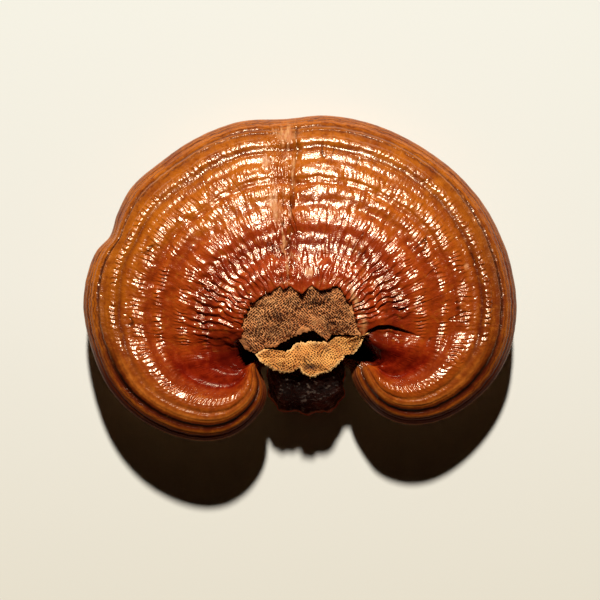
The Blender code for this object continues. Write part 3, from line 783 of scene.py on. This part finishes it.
def undersideMaterial():
    made, nodes = newMaterial("fine pore surface")
    spot = nodes.spot()
    run = nodes.attribute("run")
    hole = nodes.add("ShaderNodeTexVoronoi", {"Vector": spot, "Scale": 2600.0}, "Distance").mapped(0.42, 0.20)
    hole = hole * run.mapped(4.4, 5.6)
    shade = nodes.noise(spot, 60.0, 4.0, 0.6).mapped(-0.6, 0.8)
    color = nodes.mixed(shade, pores["underTan"], pores["underPale"])
    # The pits are painted dark as shade.
    color = color.mix(hole, pores["underPitShade"])
    color = color.mix(run.mapped(5.2, 1.5, 0.0, 0.65), pores["underBorder"])
    color = color.mix(run.mapped(1.8, 0.0, 0.0, 0.75), pores["underBrown"])
    nodes.paint({"Base Color": color, "Roughness": 0.8}, bump=(hole * -1.0, 0.6, 0.0002))
    return made


# The pieces of the cap.
def rollRows(width, upTo, step):
    # Distances from the margin that are evenly spaced along a quarter-round of this width, up to upTo.
    count = max(2, round(width * 1.5 / step))
    angles = np.linspace(0.0, math.pi / 2, count)
    rows = width * (1.0 - np.cos(angles))
    return rows[rows < upTo]


def growSkin(name, points, facts, turn, material, tree, pole=None):
    return grow(meshOf(name, points, facts, turn, closeLast=pole), tree, material, skinRelief)


def tucked(d, end):
    # How far a ring's last rows dip under the next ring.
    return 0.4 * np.clip((d - end) / 0.4, 0.0, 1.0)


def towards(edge, share):
    # Points on the way from the middle of the pore tissue to this edge.
    return np.array(patchCentre) + (edge[:, :2] - np.array(patchCentre)) * share


def carriedOn(facts, count):
    # The last row's values again, for this many more rows.
    return {key: np.concatenate((value, np.repeat(value[:, -1:], count, axis=1)), axis=1)
            for key, value in facts.items()}


def buildMargin(material, tree):
    # The rolled margin: the outer underside, round the edge and up to the outer ring.
    u = evenColumns(1270, 2.0)
    below = np.concatenate((rollRows(4.0, 4.0, 0.42)[1:], np.linspace(4.0, 5.6, 4)))[::-1]
    above = rollRows(8.0, ringEnds[0] + ringOverlap, 0.165)
    underPoints, underFacts = underSurface(u, below)
    underPoints[..., 2] += 0.6 * np.clip((below - 4.4) / 0.5, 0.0, 1.0)
    topPoints, topFacts = topSurface(u, above)
    topPoints[..., 2] -= tucked(above, ringEnds[0])
    facts = {}
    for key, values in topFacts.items():
        belowValues = underFacts.get(key, np.repeat(values[:, :1], len(below), axis=1))
        facts[key] = np.concatenate((belowValues, values), axis=1)
    points = np.concatenate((underPoints, topPoints), axis=1)
    return growSkin("cap_margin", points, facts, turnOf(u), material, tree)


def buildBand(name, columns, step, k, material, tree):
    # One ring of the skin, from one groove to the next, tucked under the ring inside it.
    start, end = ringEnds[k] - ringStart, ringEnds[k + 1] + ringOverlap
    d = np.linspace(start, end, round((end - start) / step) + 1)
    u = evenColumns(columns, (start + end) / 2)
    points, facts = topSurface(u, d)
    points[..., 2] -= tucked(d, ringEnds[k + 1])
    return growSkin(name, points, facts, turnOf(u), material, tree)


def buildSkin(material, tree):
    # The innermost ring, with its rounded edge over the pore tissue and the seat under the tissue.
    u = evenColumns(1250, 47.0)
    turn = turnOf(u)
    d = np.linspace(ringEnds[-1] - ringStart, cap["longestRib"], 65)
    points, facts = topSurface(u, d)
    edge = points[:, -1]  # it moves with the points
    inward = np.array(patchCentre) - edge[:, :2]
    inward = inward / np.linalg.norm(inward, axis=1)[:, None]
    # Rounded bulges where the skin ends on the pore tissue, then a wall down to the floor under it.
    far = smooth((edge[:, 1] + 9.0) / 3.0)
    bulge = (0.05 + 0.38 * ripple(turn, (17, 29, 41, 53), 4)) * (1.0 - far)
    # It reaches further in beside the stem, and its far edge follows the peaks of the tissue.
    bulge += 3.4 * smooth((edge[:, 0] - 20.5) / 2.5) * smooth((-20.5 - edge[:, 1]) / 3.0)
    bulge += 1.8 * smooth((-17.5 - edge[:, 0]) / 1.5) * smooth((-21.5 - edge[:, 1]) / 2.5)
    weight = smooth((d - 51.5) / 4.5)
    points[..., :2] += inward[:, None, :] * (bulge[:, None] * weight[None, :])[..., None]
    peaks = np.array(patch["peaks"])
    rise = np.interp(edge[:, 0], peaks[:, 0], peaks[:, 1]) - edge[:, 1]
    rise = rise * far * smooth((edge[:, 0] + 10.5) / 2.0) * smooth((15.5 - edge[:, 0]) / 2.0)
    points[..., 1] += rise[:, None] * weight[None, :]
    rows = [points]
    for reach, drop in ((0.16, 0.07), (0.30, 0.24), (0.38, 0.55), (0.40, 1.10), (0.38, 1.80)):
        rows.append(rowOf(edge[:, :2] + inward * reach, edge[:, 2] - drop))
    for share in (0.96, 0.60, 0.30):
        xy = towards(edge, share)
        seatZ = floorZ(xy[:, 1])
        rows.append(rowOf(xy, np.minimum(seatZ, edge[:, 2] - 1.9) if share > 0.9 else seatZ))
    facts = carriedOn(facts, len(rows) - 1)
    facts["full"][:, len(d) + 2:] = 0.0
    # The wall and the seat under the pore tissue are painted near black as shade.
    facts["shade"][:, len(d) + 3:] = 1.0
    pole = (*patchCentre, float(floorZ(patchCentre[1])))
    return growSkin("cap_skin", np.concatenate(rows, axis=1), facts, turn, material, tree, pole)


def poreZ(x, y):
    return marginZ(x, y) - cap["rollDown"] + cap["poreStep"]


def buildUnderside(material):
    u = evenColumns(700, 6.0)
    d = np.concatenate((np.linspace(4.3, 8.0, 12), np.linspace(8.4, cap["longestRib"], 104)))
    points, facts = underSurface(u, d)
    rows = [points]
    for share in (0.85, 0.7, 0.55, 0.4, 0.25, 0.12):
        xy = towards(points[:, -1], share)
        rows.append(rowOf(xy, poreZ(xy[:, 0], xy[:, 1])))
    facts = {key: value[:, ::-1] for key, value in carriedOn(facts, len(rows) - 1).items()}
    pole = (*patchCentre, float(poreZ(*patchCentre)))
    made = meshOf("cap_underside", np.concatenate(rows, axis=1)[:, ::-1], facts, turnOf(u), closeFirst=pole)
    made.data.materials.append(material)
    return made


# Pore tissue in front of the cap.
patch = {
    "crack": ((-17.4, -23.8), (-14.8, -25.2), (-13.4, -24.5), (-11.2, -23.4), (-7.3, -22.9), (-6.1, -21.8),
              (-3.9, -20.8), (-1.3, -19.5), (1.0, -18.6), (3.0, -17.9), (5.0, -18.0), (7.4, -19.9),
              (8.8, -20.9), (9.7, -20.6), (9.8, -19.0), (11.7, -19.2), (14.4, -18.9), (17.3, -19.4)),
    # The far edge, where the tissue runs out in peaks over the skin.
    "peaks": ((-11.8, -6.5), (-7.8, -4.2), (-6.4, -3.4), (-5.4, -4.6), (-3.2, -3.4), (-1.8, -4.6), (0.9, -5.8),
              (2.5, -4.2), (4.0, -3.2), (6.4, -4.9), (9.1, -4.2), (11.5, -3.3), (13.1, -4.1), (14.4, -6.0)),
    "firstRib": 12.6,
    "lastRib": 29.9,
    "Pore Size": 0.64,
    "bend": 1.7,  # how far its rows stray
    "Pore Depth": 0.34,
    "Lump Height": 0.40,
    "rim": 1.9,  # the width of its smoother border
    "stretch": 1.9,  # how much longer than wide its pores are
    "wall": (0.74, 0.250, 0.068),
    "bright": (0.98, 0.440, 0.150),
    "hole": (0.050, 0.014, 0.006),
    "border": (0.40, 0.140, 0.040),
}
lip = {
    "edge": ((18.0, -20.1), (16.6, -20.0), (14.4, -19.7), (11.8, -19.9), (10.5, -20.9), (9.9, -22.3),
             (7.8, -21.4), (5.6, -21.6), (3.0, -21.4), (0.3, -21.6), (-1.8, -22.3), (-3.1, -24.1),
             (-5.2, -25.0), (-7.3, -24.2), (-11.8, -24.1), (-14.3, -25.6), (-12.1, -28.1), (-9.6, -29.9),
             (-6.5, -31.0), (-3.3, -31.3), (-1.8, -30.7), (-0.5, -29.8), (1.3, -31.6), (3.2, -32.9),
             (6.1, -32.0), (9.1, -31.2), (11.3, -29.4), (13.0, -27.7), (15.2, -25.4), (17.3, -25.3),
             (18.4, -23.8), (20.5, -20.3), (22.4, -18.5)),
    "centre": (3.0, -26.3),
    "crackZ": 25.4,
    "rimZ": 30.3,
    "thickness": 1.7,
    "Pore Size": 0.70,
    "bend": 2.8,
    "Pore Depth": 0.45,
    "Lump Height": 0.3,
    "rim": 1.2,
    "stretch": 1.1,
    "wall": (0.62, 0.215, 0.042),
    "bright": (0.92, 0.420, 0.100),
    "hole": (0.045, 0.012, 0.004),
    "border": (0.98, 0.560, 0.200),
}


def spaced(corners, count=None, step=None):
    # Even points along a line, this many or about a step apart: how far along each is, the length, the points.
    total = runningLength(corners)
    count = count or int(total[-1] / step)
    at = np.arange(count) / count * total[-1]
    return at, total[-1], np.stack([np.interp(at, total, corners[:, k]) for k in (0, 1)], axis=1)


def closedLine(corners):
    return np.vstack((corners, corners[:1]))


def alongLine(line, step, wobble, seed, closed=True):
    # Points about a step apart on a line through the corners, each a little off it.
    corners = np.array(line)
    at, length, made = spaced(closedLine(corners) if closed else corners, step=step)
    draw = np.random.default_rng(seed)
    for waves in (9, 17, 31, 47, 73, 101):
        push = draw.random(2) * 2 * math.pi
        size = wobble * 3.0 / math.sqrt(waves)
        for k in (0, 1):
            made[:, k] += size * 0.25 * np.sin(2 * math.pi * waves * at / length + push[k])
    # Small teeth, where the walls of the pores are torn.
    made[:, 1] += 0.22 * np.sin(math.pi * at / 0.62 + 2.0 * np.sin(at * 0.9)) * np.sin(at * 1.7)
    return made


def padMesh(name, edge, centre, top, bottom, topShares, bottomShares, torn=None):
    # A slab with this edge: rows from the middle of its top, over the edge, to the middle of its bottom.
    rows = []
    fromEdge = []
    centre = np.array(centre)
    reach = np.linalg.norm(edge - centre, axis=1)
    for shares, height in ((topShares, top), (bottomShares, bottom)):
        for share in shares:
            xy = centre + (edge - centre) * share
            rows.append(rowOf(xy, height(xy[:, 0], xy[:, 1], share)))
            fromEdge.append((1.0 - share) * reach)
    points = np.concatenate(rows, axis=1)
    upper = np.zeros(points.shape[:2])
    upper[:, :len(topShares)] = 1.0
    facts = {"fromEdge": np.stack(fromEdge, axis=1), "upper": upper}
    facts["torn"] = torn(points[..., 0], points[..., 1]) * upper if torn else 0.0 * upper
    turn = np.arange(len(edge)) / len(edge)
    low = (*centre, float(bottom(centre[:1], centre[1:], 0.0)[0]))
    high = (*centre, float(top(centre[:1], centre[1:], 0.0)[0]))
    return meshOf(name, points, facts, turn, closeFirst=high, closeLast=low)


def porePits(nodes, spot, sizes):
    # Pits between thin walls, 0 to 1: rows of short dashes that wind about and lean the other way in places.
    size, stretch, bend = sizes["Pore Size"] * mm, sizes["stretch"], sizes["bend"] * mm
    stray = nodes.add("ShaderNodeTexNoise", {"Vector": spot, "Scale": 210.0, "Detail": 2.0}, "Color")
    shifted = nodes.vectorMath("MULTIPLY_ADD", stray, (bend, bend, 0.0), spot)
    rows = []
    for lean in (-0.70, 0.75):
        turned = nodes.add("ShaderNodeVectorRotate", {"Vector": shifted, "Angle": lean}, rotation_type="Z_AXIS")
        x, y, _ = nodes.parts(turned)
        across = y / size
        along = x / (sizes["Pore Size"] * stretch * mm) + (across.math("FLOOR") * 2.4).math("SINE") * 0.5
        along, across = ((value.math("FRACT") - 0.5).math("ABSOLUTE") for value in (along, across))
        rows.append(across.mapped(0.36, 0.15) * along.mapped(0.5 - 0.12 / stretch, 0.5 - 0.33 / stretch))
    switch = nodes.noise(spot, 110.0, 1.0).mapped(-0.12, 0.12)
    return rows[0] * (1.0 - switch) + rows[1] * switch


def poreTree(name, sizes):
    nodes, size = newGrowth(name, {key: sizes[key] for key in ("Pore Depth", "Lump Height")})
    spot = nodes.add("GeometryNodeInputPosition")
    upper = nodes.read("upper")
    uneven = nodes.noise(spot, 260.0, 2.0) * (sizes["rim"] * 0.6)
    field = (nodes.read("fromEdge") + uneven).mapped(sizes["rim"] * 0.5, sizes["rim"])
    field = field * nodes.noise(spot, 170.0, 3.0).mapped(-0.9, 0.4, 0.35, 1.0) * upper
    pit = porePits(nodes, spot, sizes) * field
    lumps = nodes.noise(spot, 330.0, 3.0, 0.6) * size["Lump Height"] * upper.mapped(0.0, 1.0, 0.35, 1.0)
    return endGrowth(nodes, size, pit * size["Pore Depth"] * -1.0 + lumps, {"field": field})


def poreMaterial(name, sizes):
    made, nodes = newMaterial(name)
    spot = nodes.spot()
    color = nodes.mixed(nodes.noise(spot, 190.0, 4.0, 0.65).mapped(-0.7, 0.7), sizes["wall"], sizes["bright"])
    edge = nodes.attribute("fromEdge").mapped(sizes["rim"], sizes["rim"] * 0.2)
    color = color.mix(edge * 0.85, sizes["border"])
    color = color.mix(nodes.noise(spot, 240.0, 3.0, 0.65).mapped(0.1, -0.8, 0.0, 0.5), pores["stain"])
    # The torn pit and the pores are painted dark as shade.
    color = color.mix(nodes.attribute("torn"), sizes["hole"])
    pit = porePits(nodes, spot, sizes) * nodes.attribute("field").mapped(0.0, 0.6)
    color = color.mix(pit, sizes["hole"])
    nodes.paint({"Base Color": color, "Roughness": 0.85, "Specular IOR Level": 0.25},
                bump=(nodes.noise(spot, 2400.0, 3.0, 0.6), 0.5, 0.00012))
    return made


def buildPatch():
    skinSide = ribsAt(np.linspace(patch["firstRib"], patch["lastRib"], 150))[:, 2:]
    # Its far edge runs on under the skin.
    away = skinSide - np.array(patchCentre)
    away = away / np.linalg.norm(away, axis=1)[:, None]
    skinSide = skinSide + away * (0.6 + 0.8 * smooth((skinSide[:, 1] + 9.0) / 3.0))[:, None]
    crack = alongLine(patch["crack"][::-1], 0.16, 0.5, 7, closed=False)
    edge = spaced(closedLine(np.vstack((crack, skinSide))), count=800)[2]

    def top(x, y, share):
        return patchZ(x, y) - 1.2 * smooth((share - 0.90) / 0.10) * smooth((y + 8.0) / 3.0)

    def bottom(x, y, share):
        return floorZ(y) + 0.4 + 0.0 * x

    topShares = np.concatenate((np.linspace(0.03, 0.985, 112), (0.993, 1.0)))
    bottomShares = np.array((1.0, 0.99, 0.96, 0.85, 0.6, 0.3))
    made = padMesh("pore_tissue_patch", edge, patchCentre, top, bottom, topShares, bottomShares)
    tree = poreTree("pores of the patch", patch)
    return grow(made, tree, poreMaterial("brown pore tissue", patch), patch)


def buildLip():
    edge = alongLine(lip["edge"], 0.14, 0.35, 12)

    def torn(x, y):
        # A torn pit near the rim.
        return np.exp(-((x - 3.6 + 0.5 * (y + 29.4)) / 2.3) ** 2 - ((y + 29.4) / 1.1) ** 2)

    def top(x, y, share):
        rise = smooth((-21.5 - y) / 9.0)
        ruffle = 0.5 * np.sin(0.75 * x + 0.6) + 0.3 * np.sin(1.9 * x)
        sides = 0.012 * (x - lip["centre"][0]) ** 2
        height = lip["crackZ"] + (lip["rimZ"] - lip["crackZ"] + ruffle) * rise - 0.8 * sides * rise
        height = height + 3.4 * smooth((x - 15.5) / 5.0) * (1.0 - rise) - 0.9 * torn(x, y)
        return height - 0.5 * smooth((share - 0.93) / 0.07)

    def bottom(x, y, share):
        overStem = np.maximum(smooth((-27.5 - y) / 3.0), smooth((x - 17.5) / 2.0))
        seat = floorZ(y) + 0.7
        return seat + (top(x, y, 0.0) - lip["thickness"] - seat) * overStem

    topShares = np.concatenate((np.linspace(0.04, 0.97, 84), (0.98, 0.99, 0.997, 1.0)))
    bottomShares = np.array((1.0, 0.99, 0.97, 0.92, 0.84, 0.74, 0.62, 0.48, 0.3, 0.12))
    made = padMesh("pore_tissue_lip", edge, lip["centre"], top, bottom, topShares, bottomShares, torn)
    tree = poreTree("pores of the lip", lip)
    return grow(made, tree, poreMaterial("young yellow pore tissue", lip), lip)


# The stem.
stem = {
    "x": 2.2,
    # height, centre y, half-width, half-depth
    "sections": ((0.0, -34.6, 12.6, 11.4), (0.7, -34.6, 12.8, 11.5), (1.7, -34.4, 12.1, 10.8),
                 (4.0, -33.6, 12.0, 10.6),
                 (8.0, -32.0, 11.9, 10.6), (12.9, -28.8, 12.2, 12.0), (13.8, -31.0, 11.9, 9.2),
                 (16.0, -30.4, 11.8, 8.8), (19.0, -29.7, 11.7, 7.8), (21.6, -29.0, 11.0, 6.6),
                 (22.9, -28.8, 9.6, 5.2)),
    "stepZ": 13.4,
    "squareness": 3.2,
    "Wrinkle Height": 0.55,
    "Cut Height": 0.18,
    "footZ": 0.05,
    "dark": (0.030, 0.0035, 0.0015),
    "brown": (0.100, 0.016, 0.006),
    "footRim": (0.80, 0.220, 0.110),
    "fleshDark": (0.18, 0.085, 0.038),
    "fleshPale": (0.42, 0.25, 0.13),
}


def stemTree():
    nodes, size = newGrowth("stem wrinkles", {key: stem[key] for key in ("Wrinkle Height", "Cut Height")})
    spot = nodes.add("GeometryNodeInputPosition")
    cut = nodes.read("cut")
    turned = nodes.add("ShaderNodeVectorRotate", {"Vector": spot, "Rotation": (0.5, 0.4, 0.2)},
                       rotation_type="EULER_XYZ")
    slanted = nodes.vectorMath("MULTIPLY", turned, (1.0, 1.0, 0.35))
    wrinkles = nodes.noise(slanted, 240.0, 3.0, 0.55, 0.5) + nodes.noise(spot, 700.0, 2.0, 0.6) * 0.3
    side = wrinkles * size["Wrinkle Height"] * cut.mapped(0.0, 1.0, 1.0, 0.0)
    face = nodes.noise(spot, 500.0, 3.0, 0.6).math("ABSOLUTE") * cut * size["Cut Height"] * -1.0
    return endGrowth(nodes, size, side + face, {})


def stemMaterial():
    made, nodes = newMaterial("dark lacquered stem")
    spot = nodes.spot()
    cut = nodes.attribute("cut")
    shade = nodes.noise(spot, 130.0, 4.0, 0.6)
    color = nodes.mixed(shade.mapped(-0.5, 0.9), stem["dark"], stem["brown"])
    # The foot's reddish rim, brightened as painted light.
    color = color.mix(nodes.parts(spot)[2].mapped(0.0019, 0.0012), stem["footRim"])
    # The cut: pale corky flesh with darker rings and specks.
    rings = nodes.add("ShaderNodeTexNoise", {"Vector": spot, "Scale": 350.0, "Detail": 5.0})
    color = color.mix(cut, nodes.mixed(rings.mapped(0.35, 0.65), stem["fleshDark"], stem["fleshPale"]))
    rough = shade.mapped(-1.0, 1.0, 0.16, 0.34, "LINEAR") + cut * 0.5
    gloss = nodes.noise(spot, 620.0, 2.0).mapped(0.30, 0.60, 0.02, 0.8) * (1.0 - cut)
    nodes.paint({"Base Color": color, "Roughness": rough, "Specular IOR Level": gloss,
                 "Specular Tint": (1.0, 0.50, 0.28, 1.0)},
                bump=(nodes.noise(spot, 1300.0, 3.0, 0.6), 0.5, 0.00015))
    return made


def buildStem():
    columns = 420
    angles = 2.0 * math.pi * np.arange(columns) / columns
    c, s = np.cos(angles), np.sin(angles)
    reach = (np.abs(c) ** stem["squareness"] + np.abs(s) ** stem["squareness"]) ** (-1.0 / stem["squareness"])
    sections = np.array(stem["sections"])
    levels = np.concatenate((np.linspace(0.0, 12.9, 52), np.linspace(13.0, sections[-1, 0], 44)))
    rows = []
    cutFacts = []
    for share in (0.1, 0.2, 0.3, 0.4, 0.5, 0.6, 0.7, 0.8, 0.88, 0.94, 0.975):
        x = stem["x"] + c * reach * sections[0, 2] * share
        y = sections[0, 1] + s * reach * sections[0, 3] * share
        rows.append(np.stack((x, y, np.full(columns, stem["footZ"])), axis=1)[:, None, :])
        cutFacts.append(np.ones(columns))
    for z in levels:
        centreY, halfWidth, halfDepth = (np.interp(z, sections[:, 0], sections[:, k]) for k in (1, 2, 3))
        rim = 0.5 * smooth(1.0 - z / 0.7)  # the cut's edge is slightly rounded
        flute = 0.45 * np.sin(11.0 * angles + 0.12 * z) * smooth(z / 0.8)
        x = stem["x"] + c * (reach * (halfWidth - rim) + flute)
        y = centreY + s * (reach * (halfDepth - rim) + flute)
        if z > stem["stepZ"]:
            level = np.full(columns, z)
            y = np.minimum(y, -28.8 - 0.35)
        else:
            level = np.minimum(z, marginZ(x, y) - cap["rollDown"] - 0.35)
        rows.append(np.stack((x, y, np.maximum(level, stem["footZ"])), axis=1)[:, None, :])
        cutFacts.append(np.full(columns, 1.0 - float(smooth(z / 0.4))))
    points = np.concatenate(rows, axis=1)
    low = (stem["x"], sections[0, 1], stem["footZ"])
    high = (stem["x"], sections[-1, 1] - 3.0, sections[-1, 0] + 0.3)
    made = meshOf("dark_stem", points[::-1], {"cut": np.stack(cutFacts, axis=1)[::-1]}, angles / (2 * math.pi),
                  closeFirst=low, closeLast=high)
    return grow(made, stemTree(), stemMaterial(), stem)


# Table, light and camera.
table = {
    "size": 3000.0,
    # from the far side to the near one, as painted shading: darker on the far side, which the lamp lights most,
    # and warmer on the near side
    "colors": ((0.0, (0.806, 0.793, 0.718)), (0.45, (0.850, 0.822, 0.735)), (1.0, (0.864, 0.810, 0.682))),
    "fleck": (0.7, 0.66, 0.58),
}
window = {"distance": 2000.0, "elevation": 47.3, "size": 130.0, "power": 56.0, "color": (1.0, 0.985, 0.95)}
# A faint warm card on the near side, low over the table.
card = {"distance": 1500.0, "elevation": 8.0, "size": 160.0, "power": 0.35, "color": (1.0, 0.62, 0.34)}
room = {"color": (1.0, 0.58, 0.32, 1.0), "strength": 0.003}
camera = {"height": 600.0, "y": -8.05, "width": 200.7}  # the width of table that the picture takes in


def buildTable():
    half = table["size"] / 2 * mm
    mesh = bpy.data.meshes.new("table")
    corners = [(-half, -half, 0), (half, -half, 0), (half, half, 0), (-half, half, 0)]
    mesh.from_pydata(corners, [], [(0, 1, 2, 3)])
    made = addObject("table", mesh)
    finish, nodes = newMaterial("matt paper")
    spot = nodes.spot()
    color = nodes.ramp(nodes.parts(spot)[1].mapped(0.09, -0.12, kind="LINEAR"), table["colors"])
    color = color.mix(nodes.noise(spot, 9.0, 4.0).mapped(-1.0, 1.0, 0.0, 0.03), table["fleck"])
    nodes.paint({"Base Color": color, "Roughness": 0.9})
    mesh.materials.append(finish)


def buildLamp(name, lamp, side):
    # A round lamp that faces the middle of the table, from the far side (1) or the near side (-1).
    data = bpy.data.lights.new(name, "AREA")
    data.shape = "DISK"
    data.size = lamp["size"] * mm
    data.energy = lamp["power"]
    data.color = lamp["color"]
    elevation = math.radians(lamp["elevation"])
    distance = lamp["distance"]
    made = addObject(name, data)
    made.location = (0.0, side * distance * math.cos(elevation) * mm, distance * math.sin(elevation) * mm)
    made.rotation_euler = (-side * (math.pi / 2 - elevation), 0.0, 0.0)


def buildRoom():
    world = bpy.context.scene.world or bpy.data.worlds.new("room")
    bpy.context.scene.world = world
    world.use_nodes = True
    background = world.node_tree.nodes["Background"]
    background.inputs["Color"].default_value = room["color"]
    background.inputs["Strength"].default_value = room["strength"]


def buildCamera():
    data = bpy.data.cameras.new("camera")
    data.sensor_width = 36.0
    data.lens = data.sensor_width * camera["height"] / camera["width"]
    made = addObject("camera", data)
    made.location = (0.0, camera["y"] * mm, camera["height"] * mm)
    bpy.context.scene.camera = made
    bpy.context.scene.view_settings.view_transform = "Standard"


# Everything, in order.
def told(made):
    print(made.name + ":", len(made.data.polygons), "faces")
    return made


def buildAll():
    skin, relief = skinMaterial(), skinReliefTree()
    rings = [told(buildMargin(skin, relief))]
    for k, (name, columns, step) in enumerate((("cap_outer_ring", 2000, 0.17), ("cap_middle_ring", 1950, 0.245),
                                               ("cap_inner_ring", 1500, 0.335))):
        rings.append(told(buildBand(name, columns, step, k, skin, relief)))
    rings.append(told(buildSkin(skin, relief)))
    pieces = [(ring, "cap", "lacquered_skin") for ring in rings]
    pieces += [(told(buildUnderside(undersideMaterial())), "cap", "pore_tissue"),
               (told(buildPatch()), "pore_patch", "pore_tissue"),
               (told(buildLip()), "pore_lip", "young_pore_tissue"), (told(buildStem()), "stem", "dark_stem")]
    for made, node, slot in pieces:
        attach(made, "root")
        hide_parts(node)
    buildTable()
    buildLamp("window", window, 1)
    buildLamp("card", card, -1)
    buildRoom()
    buildCamera()
    print("table, light and camera are in place")


buildAll()
